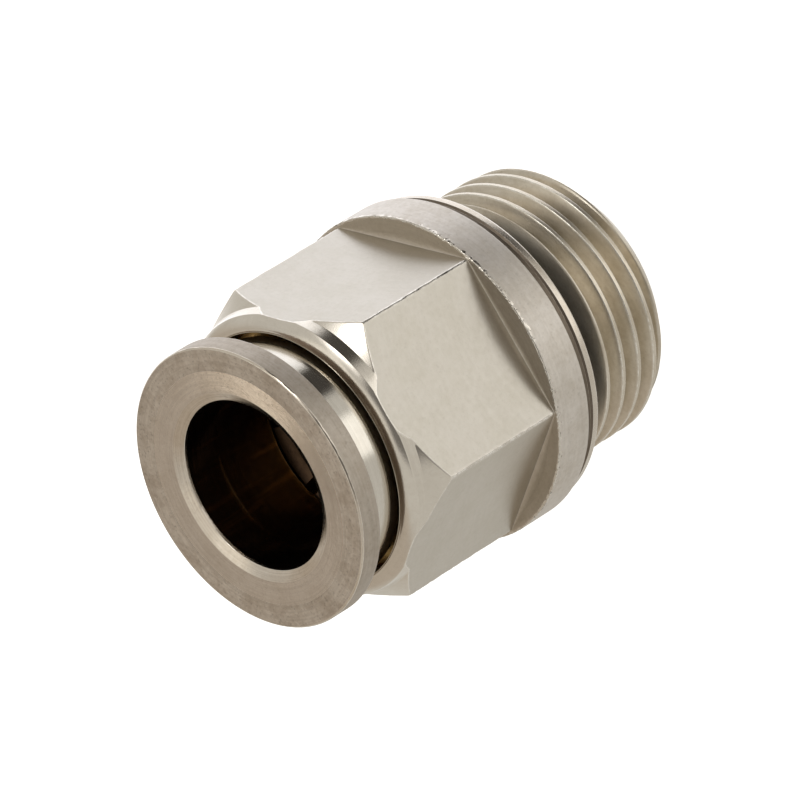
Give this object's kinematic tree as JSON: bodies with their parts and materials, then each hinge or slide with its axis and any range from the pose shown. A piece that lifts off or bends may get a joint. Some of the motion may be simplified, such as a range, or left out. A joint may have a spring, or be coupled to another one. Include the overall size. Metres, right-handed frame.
{
  "type": "push to connect fitting",
  "caption": "Straight push-to-connect fitting: hexagon body, parallel male pipe thread, sealing collar, and a flanged release ring that frees the gripped tube",
  "frame": {"origin": "on the tube axis, at the sealing plane under the collar where the fitting meets the face of its port", "axes": "+Z points out of the tube port; the thread points along -Z; two of the hexagon's flats face +Y and -Y"},
  "size_m": [0.02, 0.02, 0.0267],
  "materials": {
    "plated_body": "nickel plated, satin flats, turned faces",
    "plated_ring": "nickel plated, matte turned flange, polished neck",
    "bush_brass": "turned brass",
    "collet_bronze": "spring bronze, copper tint",
    "washer_brass": "turned, plated",
    "seal_rubber": "black nitrile rubber, slightly glossy"
  },
  "bodies": {
    "fitting": {"body": "plated_body", "grip_bush": "bush_brass", "tube_seal": "seal_rubber", "seal_washer": "washer_brass", "port_seal": "seal_rubber"},
    "collet": {"grip_collet": "collet_bronze"},
    "release": {"release_ring": "plated_ring"}
  },
  "joints": [
    {"name": "release_slide", "type": "slide", "parent": "fitting", "child": "release", "axis": [0, 0, 1], "range_m": [-0.0015, 0]},
    {"name": "collet_slide", "type": "slide", "parent": "fitting", "child": "collet", "axis": [0, 0, 1], "range_m": [-0.0012, 0]}
  ],
  "couplings": [
    {"joint": "collet_slide", "follows": "release_slide", "ratio": 0.8}
  ]
}
